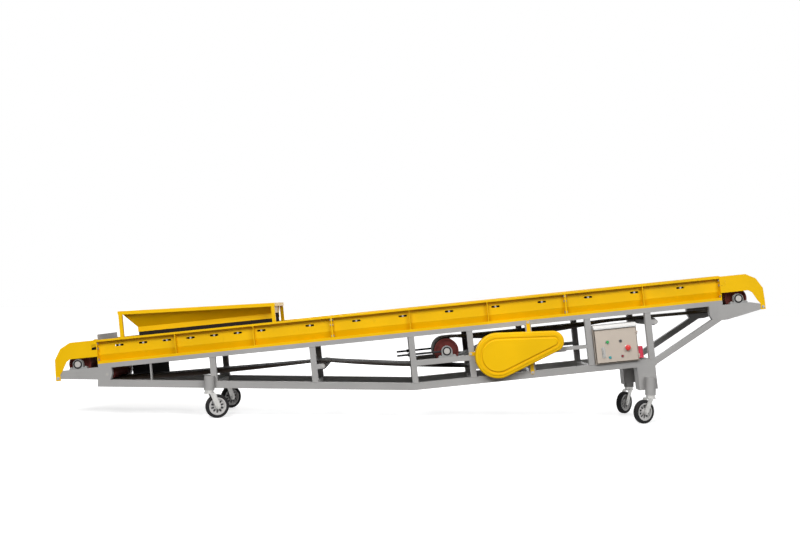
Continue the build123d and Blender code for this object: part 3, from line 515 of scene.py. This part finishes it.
def attach(mesh, name, body, finish=None, replaces=()):
    """A finished mesh becomes a piece that rides on a CAD body."""
    piece = bpy.data.objects.new(name, mesh)
    bpy.context.scene.collection.objects.link(piece)
    if finish:
        mesh.materials.clear()
        mesh.materials.append(FINISHES[finish])
    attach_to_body(piece, body)
    if replaces:
        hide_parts(*replaces)
    return piece


def finish_mesh(work, name, smooth=True):
    """A bmesh becomes a mesh, smooth where its faces meet at a low angle."""
    mesh = bpy.data.meshes.new(name)
    work.to_mesh(mesh)
    work.free()
    if smooth:
        mesh.shade_smooth()
        mesh.set_sharp_from_angle(angle=SHARP_ANGLE)
    return mesh


def gather(works, name):
    """Several bmeshes become one mesh, smooth where faces meet at a low angle."""
    whole = bmesh.new()
    for work in works:
        bit = finish_mesh(work, name + "_bit")
        whole.from_mesh(bit)
        bpy.data.meshes.remove(bit)
    return finish_mesh(whole, name)


def sized(profile, radius, height):
    """A profile with its radii and its heights each times a size."""
    return [(across * radius, along * height) for across, along in profile]


def arc(radius, along, size, start, end, steps=6):
    """Points on a quarter or other arc of a profile, angles in degrees from outwards."""
    points = []
    for step in range(steps + 1):
        angle = math.radians(start + (end - start) * step / steps)
        points.append((radius + size * math.cos(angle), along + size * math.sin(angle)))
    return points


def lathe(profile, centre, axis, segments):
    """A closed ring of profile points, each radius and way along the axis, turned about the axis."""
    way = Vector(axis).normalized()
    aside = way.orthogonal().normalized()
    across = way.cross(aside)
    work = bmesh.new()
    rings = []
    for step in range(segments):
        angle = 2 * math.pi * step / segments
        out = aside * math.cos(angle) + across * math.sin(angle)
        rings.append([work.verts.new(centre + out * radius + way * along) for radius, along in profile])
    count = len(profile)
    for step, ring in enumerate(rings):
        other = rings[(step + 1) % segments]
        for point in range(count):
            after = (point + 1) % count
            work.faces.new((ring[point], other[point], other[after], ring[after]))
    bmesh.ops.remove_doubles(work, verts=work.verts, dist=MERGE_GAP)
    bmesh.ops.recalc_face_normals(work, faces=work.faces)
    return work


def tree_node(tree, kind, settings, inputs):
    """Add a geometry node with its settings and sockets."""
    made = tree.nodes.new(kind)
    for name, value in settings.items():
        setattr(made, name, value)
    for name, value in inputs.items():
        if isinstance(value, bpy.types.NodeSocket):
            tree.links.new(value, made.inputs[name])
        else:
            made.inputs[name].default_value = value
    return made


def start_tree(name, inputs):
    """A new geometry tree with a mesh in and out, and the outputs of its input node."""
    tree = bpy.data.node_groups.new(name, "GeometryNodeTree")
    tree.interface.new_socket("Geometry", in_out="INPUT", socket_type="NodeSocketGeometry")
    for label, kind in inputs:
        tree.interface.new_socket(label, in_out="INPUT", socket_type=kind)
    tree.interface.new_socket("Geometry", in_out="OUTPUT", socket_type="NodeSocketGeometry")
    return tree, tree.nodes.new("NodeGroupInput").outputs


def end_tree(tree, shape, finish):
    """Realize a tree's shape, give it its finish and send it out."""
    real = tree_node(tree, "GeometryNodeRealizeInstances", {}, {"Geometry": shape})
    coat = tree_node(
        tree, "GeometryNodeSetMaterial", {}, {"Geometry": real.outputs[0], "Material": finish})
    result = tree.nodes.new("NodeGroupOutput")
    tree.links.new(coat.outputs[0], result.inputs[0])
    return tree


def fastener_tree():
    """Hexagon heads with washers on points, each turned to face along the points' facing."""
    tree, given = start_tree(
        "Hexagon Bolts",
        (("Head", "NodeSocketFloat"), ("Height", "NodeSocketFloat"), ("Finish", "NodeSocketMaterial")))
    wide = tree_node(
        tree, "ShaderNodeMath", {"operation": "MULTIPLY"}, {0: given["Head"], 1: WASHER_WIDE}).outputs[0]
    thin = tree_node(
        tree, "ShaderNodeMath", {"operation": "MULTIPLY"}, {0: given["Height"], 1: WASHER_THIN}).outputs[0]
    head = tree_node(
        tree, "GeometryNodeMeshCylinder", {},
        {"Vertices": HEAD_SIDES, "Radius": given["Head"], "Depth": given["Height"]})
    washer = tree_node(
        tree, "GeometryNodeMeshCylinder", {},
        {"Vertices": WASHER_SIDES, "Radius": wide, "Depth": thin})
    lift = tree_node(tree, "ShaderNodeCombineXYZ", {}, {"Z": thin})
    lifted = tree_node(
        tree, "GeometryNodeTransform", {},
        {"Geometry": head.outputs["Mesh"], "Translation": lift.outputs[0]})
    joined = tree.nodes.new("GeometryNodeJoinGeometry")
    for part in (washer.outputs["Mesh"], lifted.outputs[0]):
        tree.links.new(part, joined.inputs[0])
    facing = tree_node(
        tree, "GeometryNodeInputNamedAttribute", {"data_type": "FLOAT_VECTOR"}, {"Name": "facing"})
    turn = tree_node(
        tree, "FunctionNodeAlignRotationToVector", {"axis": "Z"},
        {"Vector": facing.outputs["Attribute"]})
    placed = tree_node(
        tree, "GeometryNodeInstanceOnPoints", {},
        {"Points": given["Geometry"], "Instance": joined.outputs[0], "Rotation": turn.outputs[0]})
    return end_tree(tree, placed.outputs[0], given["Finish"])


def bead_tree():
    """A round bead along the edges of a mesh, a little uneven as a weld is."""
    tree, given = start_tree(
        "Weld Beads",
        (("Bead", "NodeSocketFloat"), ("Ripple", "NodeSocketFloat"), ("Finish", "NodeSocketMaterial")))
    line = tree_node(tree, "GeometryNodeMeshToCurve", {}, {"Mesh": given["Geometry"]})
    even = tree_node(
        tree, "GeometryNodeResampleCurve", {"mode": "LENGTH"},
        {"Curve": line.outputs[0], "Length": BEAD_STEP})
    section = tree_node(
        tree, "GeometryNodeCurvePrimitiveCircle", {},
        {"Resolution": BEAD_SIDES, "Radius": given["Bead"]})
    grain = tree_node(tree, "ShaderNodeTexNoise", {}, {"Scale": given["Ripple"], "Detail": 1.0})
    size = tree_node(
        tree, "ShaderNodeMath", {"operation": "ADD"}, {0: grain.outputs[0], 1: BEAD_LEAST})
    thick = tree_node(
        tree, "GeometryNodeCurveToMesh", {},
        {"Curve": even.outputs[0], "Profile Curve": section.outputs["Curve"], "Fill Caps": True,
         "Scale": size.outputs[0]})
    smooth = tree_node(tree, "GeometryNodeSetShadeSmooth", {}, {"Geometry": thick.outputs[0]})
    return end_tree(tree, smooth.outputs[0], given["Finish"])


def run_tree(tree, mesh, name, values):
    """Run a geometry tree on a mesh and give back the plain mesh that it makes."""
    carrier = bpy.data.objects.new(name + "_carrier", mesh)
    bpy.context.scene.collection.objects.link(carrier)
    modifier = carrier.modifiers.new("Tree", "NODES")
    modifier.node_group = tree
    for item in tree.interface.items_tree:
        if item.item_type == "SOCKET" and item.in_out == "INPUT" and item.name in values:
            modifier[item.identifier] = values[item.name]
    depsgraph = bpy.context.evaluated_depsgraph_get()
    made = bpy.data.meshes.new_from_object(carrier.evaluated_get(depsgraph), depsgraph=depsgraph)
    made.name = name
    bpy.data.objects.remove(carrier)
    return made


def points_mesh(name, rows):
    """A mesh of loose points, each with the way that it faces."""
    mesh = bpy.data.meshes.new(name)
    mesh.from_pydata([place for place, _ in rows], [], [])
    facing = mesh.attributes.new("facing", "FLOAT_VECTOR", "POINT")
    facing.data.foreach_set("vector", [c for _, way in rows for c in way])
    return mesh


def both_sides(rows):
    """Rows of places on the near side, repeated on the far side."""
    return rows + [(Vector((p.x, -p.y, p.z)), Vector((w.x, -w.y, w.z))) for p, w in rows]


class CONVEYOR_OT_finishes(bpy.types.Operator):
    """Give every CAD node its finish"""

    bl_idname = "conveyor.finishes"
    bl_label = "Finishes"

    def execute(self, context):
        make_finishes(context.scene.conveyor_colours)
        for name, node in frame["nodes"].items():
            node.data.materials.clear()
            node.data.materials.append(FINISHES[SLOT_OF[name]])
        return {"FINISHED"}


def belt_droop(s, n, y):
    """How far the return belt's edge hangs at a place, in millimetres."""
    across = (abs(y) - DROOP_FROM) / (BELT_HALF - DROOP_FROM)
    for start, start_n, end, end_n, drop in RETURN_STRANDS:
        share = (s - start) / (end - start)
        off_strand = abs(n - start_n - share * (end_n - start_n))
        if 0 < share < 1 and off_strand < STRAND_NEAR and across > 0:
            return drop * math.sin(math.pi * share ** HANG_LEAN) * across ** 2
    return 0.0


class CONVEYOR_OT_belt(bpy.types.Operator):
    """Let the edges of the return belt hang between its rollers"""

    bl_idname = "conveyor.belt"
    bl_label = "Belt"

    def execute(self, context):
        source = frame["nodes"]["belt"]
        work = bmesh.new()
        work.from_mesh(source.data)
        work.transform(source.matrix_world)
        bmesh.ops.remove_doubles(work, verts=work.verts, dist=MERGE_GAP)
        cuts = [(deck(s, 0), ALONG) for s in range(CUT_FIRST, CUT_LAST + 1, CUT_STEP)]
        for side in (-1, 1):
            cuts += [(deck(0, 0, side * y), FAR) for y in range(DROOP_FROM, BELT_HALF, EDGE_CUT_STEP)]
        for place, way in cuts:
            bmesh.ops.bisect_plane(
                work, geom=work.verts[:] + work.edges[:] + work.faces[:], plane_co=place, plane_no=way)
        for point in work.verts:
            point.co -= UP * (belt_droop(*deck_place(point.co), point.co.y / MM) * MM)
        mesh = finish_mesh(work, "belt_slack")
        attach(mesh, "belt_slack", "conveyor", "belt_rubber", ("belt",))
        return {"FINISHED"}


class CONVEYOR_OT_fasteners(bpy.types.Operator):
    """Bolt the beams, guards, brackets and bearings together"""

    bl_idname = "conveyor.fasteners"
    bl_label = "Fasteners"

    def execute(self, context):
        sizes = context.scene.conveyor_sizes
        rows = []
        # Section joints: bolts through the two ribs that meet there
        for station in SECTION_JOINTS:
            for way in (-1, 1):
                for n in RIB_BOLT_ROWS:
                    rows.append((deck(station + way * RIB_FACE, n, RIB_BOLT_Y), ALONG * way))
        # End guards on the brackets' tips and on the beams' end ribs
        for along in GUARD_TIPS:
            rows.append((deck(along, GUARD_TIP_N, -SIDE - GUARD_SHEET), NEAR))
        for along, way in ((RIB_FACE, 1), (BEAM_LENGTH - RIB_FACE, -1)):
            for n in RIB_BOLT_ROWS:
                rows.append((deck(along, n, RIB_BOLT_Y), ALONG * way))
        # Bearing feet
        for name, (s, _) in DRUMS.items():
            for step in BEARING_BOLTS:
                rows.append((deck(s + step, BEARING_SEATS[name] + BEARING_FOOT, -BEARING_MIDDLE), UP))
        rows = both_sides(rows)
        # Drive cover tabs, on the near side only
        for s, n in COVER_BOLTS:
            rows.append((deck(s, n, -SIDE - GUARD_SHEET), NEAR))
        made = run_tree(
            fastener_tree(), points_mesh("bolt_places", rows), "frame_bolts",
            {"Head": sizes.bolt_across, "Height": sizes.bolt_height, "Finish": FINISHES["bolt_zinc"]})
        attach(made, "frame_bolts", "conveyor")
        return {"FINISHED"}


class CONVEYOR_OT_welds(bpy.types.Operator):
    """Run weld beads where the posts meet the rails and chords"""

    bl_idname = "conveyor.welds"
    bl_label = "Welds"

    def execute(self, context):
        corners = ((-POST_HALF, INNER), (-POST_HALF, SIDE), (POST_HALF, SIDE), (POST_HALF, INNER))
        points, edges = [], []
        for side in (-1, 1):
            for station in POSTS:
                for end in (RAIL_LOW, CHORD_TOP):
                    start = len(points)
                    for step, y in corners:
                        n = end if end == RAIL_LOW else chord_top(station + step)
                        points.append(deck(station + step, n, side * y))
                    edges += [(start + i, start + i + 1) for i in range(len(corners) - 1)]
        mesh = bpy.data.meshes.new("weld_lines")
        mesh.from_pydata(points, edges, [])
        made = run_tree(
            bead_tree(), mesh, "frame_welds",
            {"Bead": context.scene.conveyor_sizes.weld_radius, "Ripple": BEAD_RIPPLE,
             "Finish": FINISHES["frame_grey"]})
        attach(made, "frame_welds", "conveyor", None)
        return {"FINISHED"}


class CONVEYOR_OT_bearings(bpy.types.Operator):
    """Fit the bearing inserts and grease nipples in the pillow blocks"""

    bl_idname = "conveyor.bearings"
    bl_label = "Bearings"

    def execute(self, context):
        insert = sized(INSERT_PROFILE, MM, MM)
        nipple = sized(NIPPLE_PROFILE, MM, MM)
        bits = []
        for s, n in DRUMS.values():
            for side in (-1, 1):
                face = deck(s, n, side * BEARING_FACE)
                top = deck(s, n + NIPPLE_UP, side * BEARING_MIDDLE)
                bits.append(lathe(insert, face, FAR * side, INSERT_SEGMENTS))
                bits.append(lathe(nipple, top, UP, NIPPLE_SEGMENTS))
        mesh = gather(bits, "bearing_inserts")
        attach(mesh, "bearing_inserts", "conveyor", "screw_black")
        return {"FINISHED"}


class CONVEYOR_OT_motor(bpy.types.Operator):
    """Cast the motor's cooling fins"""

    bl_idname = "conveyor.motor"
    bl_label = "Motor"

    def execute(self, context):
        sizes = context.scene.conveyor_sizes
        middle = deck(*MOTOR, FIN_MIDDLE)
        reach = MOTOR_RADIUS * MM + sizes.fin_height / 2 - FIN_ROOT * MM
        shape = Matrix.Diagonal((FIN_THICK * MM, FIN_LENGTH * MM, sizes.fin_height, 1))
        work = bmesh.new()
        for step in range(sizes.fin_count):
            angle = 2 * math.pi * step / sizes.fin_count
            out = ALONG * math.cos(angle) + UP * math.sin(angle)
            if out.dot(UP) < FIN_FOOT or out.dot(ALONG) > FIN_BOX:
                continue
            place = Matrix((out.cross(FAR), FAR, out)).transposed().to_4x4()
            place.translation = middle + out * reach
            bmesh.ops.create_cube(work, size=1, matrix=place @ shape)
        mesh = finish_mesh(work, "motor_fins", smooth=False)
        attach(mesh, "motor_fins", "conveyor", "motor_blue")
        return {"FINISHED"}


def stop_cap(radius, height):
    """The stop button's profile: a stem under a wide head with a round edge."""
    across, along = STOP_EDGE_MIDDLE
    edge = arc(radius * across, height * along, radius * STOP_EDGE_RADIUS, *STOP_EDGE_TURN, EDGE_STEPS)
    return sized(STOP_STEM, radius, height) + edge + sized(STOP_TOP, radius, height)


class CONVEYOR_OT_controls(bpy.types.Operator):
    """Fit the push buttons, the stop button, the lamps and the latch on the box's door"""

    bl_idname = "conveyor.controls"
    bl_label = "Door Controls"

    def execute(self, context):
        corner_s, corner_n = DOOR_CORNER
        first = True
        for name, (along, up), radius, height, finish in DOOR_CONTROLS:
            centre = deck(corner_s + along, corner_n + up, DOOR_FRONT)
            r, h = radius * MM, height * MM
            if name == "stop_button":
                cap, collar = stop_cap(r, h), sized(STOP_COLLAR_PROFILE, r, h)
            else:
                cap, collar = sized(CAP_PROFILE, r, h), sized(COLLAR_PROFILE, r, h)
            mesh = finish_mesh(lathe(cap, centre, NEAR, CONTROL_SEGMENTS), name)
            attach(mesh, name, "box_door", finish, ("door_controls",) if first else ())
            mesh = finish_mesh(lathe(collar, centre, NEAR, CONTROL_SEGMENTS), name + "_collar")
            attach(mesh, name + "_collar", "box_door", "bolt_zinc")
            first = False
        latch = bmesh.new()
        for size, lift in LATCH_PLATES:
            place = Matrix((ALONG, UP, NEAR)).transposed().to_4x4()
            place.translation = deck(corner_s + LATCH_AT[0], corner_n + LATCH_AT[1], DOOR_FRONT - lift)
            shape = Matrix.Diagonal((size[0] * MM, size[1] * MM, size[2] * MM, 1))
            bmesh.ops.create_cube(latch, size=1, matrix=place @ shape)
        bmesh.ops.bevel(
            latch, geom=latch.edges, offset=LATCH_BEVEL * MM, segments=LATCH_BEVEL_SEGMENTS, affect="EDGES")
        attach(finish_mesh(latch, "door_latch"), "door_latch", "box_door", "bolt_zinc")
        return {"FINISHED"}


class CONVEYOR_OT_inlet(bpy.types.Operator):
    """Finish the power inlet with a mouth ring, a domed top and contact pins"""

    bl_idname = "conveyor.inlet"
    bl_label = "Power Inlet"

    def execute(self, context):
        s, n, y, radius, socket, reach = INLET
        r = radius * MM
        mouth = deck(s, n, y)
        top = mouth + UP * (reach * MM)
        ring = [(r + out * MM, up * MM) for out, up in INLET_RING]
        edge = arc(r - DOME_EDGE * MM, 0, DOME_EDGE * MM, 0, 90, EDGE_STEPS)
        dome = [(0, 0)] + edge + [(0, DOME_HEIGHT * MM)]
        bits = [lathe(ring, mouth, UP, INLET_SEGMENTS), lathe(dome, top, UP, INLET_SEGMENTS)]
        attach(gather(bits, "inlet_ring"), "inlet_ring", "conveyor", "inlet_red")
        pin = sized((*PIN_TIP, (PIN_RADIUS, socket), (0, socket)), MM, MM)
        pins = []
        for step in range(PIN_COUNT):
            angle = 2 * math.pi * step / PIN_COUNT
            foot = mouth + ALONG * (math.cos(angle) * PIN_RING * MM) + FAR * (math.sin(angle) * PIN_RING * MM)
            pins.append(lathe(pin, foot, UP, PIN_SEGMENTS))
        attach(gather(pins, "inlet_pins"), "inlet_pins", "conveyor", "bolt_zinc")
        return {"FINISHED"}


def wheel_place(name):
    """Centre and axle of a caster's wheel."""
    x, y, trail = CASTERS[name]
    way = Vector((math.cos(math.radians(trail)), math.sin(math.radians(trail)), 0))
    return Vector((x, y, WHEEL_RADIUS)) * MM + way * (WHEEL_TRAIL * MM), Vector((-way.y, way.x, 0))


def tyre_profile(shoulder):
    """A tyre's section: lips at the bore, round shoulders and two tread grooves."""
    outer, inner, half = WHEEL_RADIUS * MM, TYRE_BORE * MM, TYRE_HALF * MM
    lip, groove, floor = TYRE_LIP * MM, GROOVE_HALF * MM, outer - GROOVE_DEPTH * MM
    tread = []
    for middle in (-GROOVE_PLACE * MM, GROOVE_PLACE * MM):
        tread += [(outer, middle - groove), (floor, middle - groove * GROOVE_TAPER),
                  (floor, middle + groove * GROOVE_TAPER), (outer, middle + groove)]
    return (
        [(inner, -half + lip), (inner + lip, -half)]
        + arc(outer - shoulder, -half + shoulder, shoulder, -90, 0)
        + tread
        + arc(outer - shoulder, half - shoulder, shoulder, 0, 90)
        + [(inner + lip, half), (inner, half - lip)])


class CONVEYOR_OT_tyres(bpy.types.Operator):
    """Turn the caster tyres, with round shoulders and two tread grooves, and the wheels' webs, black as
    painted shade
    """

    bl_idname = "conveyor.tyres"
    bl_label = "Tyres"

    def execute(self, context):
        tyre = tyre_profile(context.scene.conveyor_sizes.tyre_round)
        web = sized(
            ((WEB_BORE, -WEB_HALF), (WEB_RADIUS, -WEB_HALF), (WEB_RADIUS, WEB_HALF), (WEB_BORE, WEB_HALF)),
            MM, MM)
        for name in CASTERS:
            centre, axle = wheel_place(name)
            rubber_name, shade_web_name, wheel = f"{name}_tyre_rubber", f"{name}_shade_web", f"{name}_wheel"
            mesh = finish_mesh(lathe(tyre, centre, axle, TYRE_SEGMENTS), rubber_name)
            attach(mesh, rubber_name, wheel, "caster_tyre", (f"{name}_tyre",))
            # Black plastic on the web is painted shade: it darkens the wheel's windows, which are shaded
            # pockets
            mesh = finish_mesh(lathe(web, centre, axle, WEB_SEGMENTS), shade_web_name)
            attach(mesh, shade_web_name, wheel, "control_plastic")
        return {"FINISHED"}


def seen_rays(finish):
    """One for rays by which the backdrop is seen, straight or in metal and glass, and none for its light."""
    camera, glossy, through = (
        finish.node("ShaderNodeLightPath", {}, {}, f"Is {kind} Ray")
        for kind in ("Camera", "Glossy", "Transmission"))
    return camera + glossy + through


class CONVEYOR_OT_stage(bpy.types.Operator):
    """Floor, light and camera"""

    bl_idname = "conveyor.stage"
    bl_label = "Stage"

    def execute(self, context):
        scene = context.scene
        scene.view_settings.view_transform = "Standard"
        reach = FLOOR_REACH
        floor_mesh = bpy.data.meshes.new("floor")
        floor_mesh.from_pydata(
            [(-reach, -reach, 0), (reach, -reach, 0), (reach, reach, 0), (-reach, reach, 0)],
            [], [(0, 1, 2, 3)])
        floor = bpy.data.objects.new("floor", floor_mesh)
        scene.collection.objects.link(floor)
        pale = Finish("White floor", roughness=0.8, emission_strength=1.0)
        seen = seen_rays(pale)
        away = pale.node("ShaderNodeVectorMath", {"operation": "LENGTH"}, {0: pale.place}, "Value")
        glow = pale.mix(pale.mask(away, GLOW_FROM, GLOW_TO), GLOW_NEAR, WHITE)
        floor_mesh.materials.append(
            pale.feed(base_color=pale.mix(seen, FLOOR_BOUNCE, FLOOR_SEEN),
                      emission_color=pale.mix(seen, BLACK, glow)))
        world = bpy.data.worlds.new("Studio")
        scene.world = world
        world.use_nodes = True
        sky = Finish.of_tree(world.node_tree, "Background")
        sky.links.new(sky.mix(seen_rays(sky), SKY_LIGHT, WHITE).socket, sky.shader.inputs["Color"])
        for name, place, size, power in LAMPS:
            lamp = bpy.data.lights.new(name, "AREA")
            lamp.size, lamp.energy = size, power
            lamp_object = bpy.data.objects.new(name, lamp)
            lamp_object.location = place
            lamp_object.rotation_mode = "QUATERNION"
            lamp_object.rotation_quaternion = (LAMP_AIM - Vector(place)).to_track_quat("-Z", "Y")
            scene.collection.objects.link(lamp_object)
        camera_data = bpy.data.cameras.new("camera")
        camera_data.sensor_width = CAMERA_SENSOR
        camera_data.lens = CAMERA_LENS
        camera = bpy.data.objects.new("camera", camera_data)
        turn = (Matrix.Rotation(CAMERA_PAN, 4, "Z") @ Matrix.Rotation(CAMERA_TILT, 4, "X")
                @ Matrix.Rotation(CAMERA_ROLL, 4, "Z"))
        camera.matrix_world = Matrix.Translation(CAMERA_PLACE) @ turn
        scene.collection.objects.link(camera)
        scene.camera = camera
        return {"FINISHED"}


class CONVEYOR_PT_looks(bpy.types.Panel):
    """The steps that dress the conveyor"""

    bl_label = "Conveyor"
    bl_space_type = "VIEW_3D"
    bl_region_type = "UI"
    bl_category = "Conveyor"

    def draw(self, context):
        for step in STEPS:
            self.layout.operator(step.bl_idname)


STEPS = (
    CONVEYOR_OT_finishes,
    CONVEYOR_OT_belt,
    CONVEYOR_OT_fasteners,
    CONVEYOR_OT_welds,
    CONVEYOR_OT_bearings,
    CONVEYOR_OT_motor,
    CONVEYOR_OT_controls,
    CONVEYOR_OT_inlet,
    CONVEYOR_OT_tyres,
    CONVEYOR_OT_stage,
)
CLASSES = (LooksSizes, LooksColours, *STEPS, CONVEYOR_PT_looks)


def register():
    for entry in CLASSES:
        bpy.utils.register_class(entry)
    bpy.types.Scene.conveyor_sizes = bpy.props.PointerProperty(type=LooksSizes)
    bpy.types.Scene.conveyor_colours = bpy.props.PointerProperty(type=LooksColours)


def unregister():
    del bpy.types.Scene.conveyor_colours
    del bpy.types.Scene.conveyor_sizes
    for entry in reversed(CLASSES):
        bpy.utils.unregister_class(entry)


def main():
    register()
    for step in STEPS:
        group, name = step.bl_idname.split(".")
        getattr(getattr(bpy.ops, group), name)()


if __name__ == "__main__":
    main()
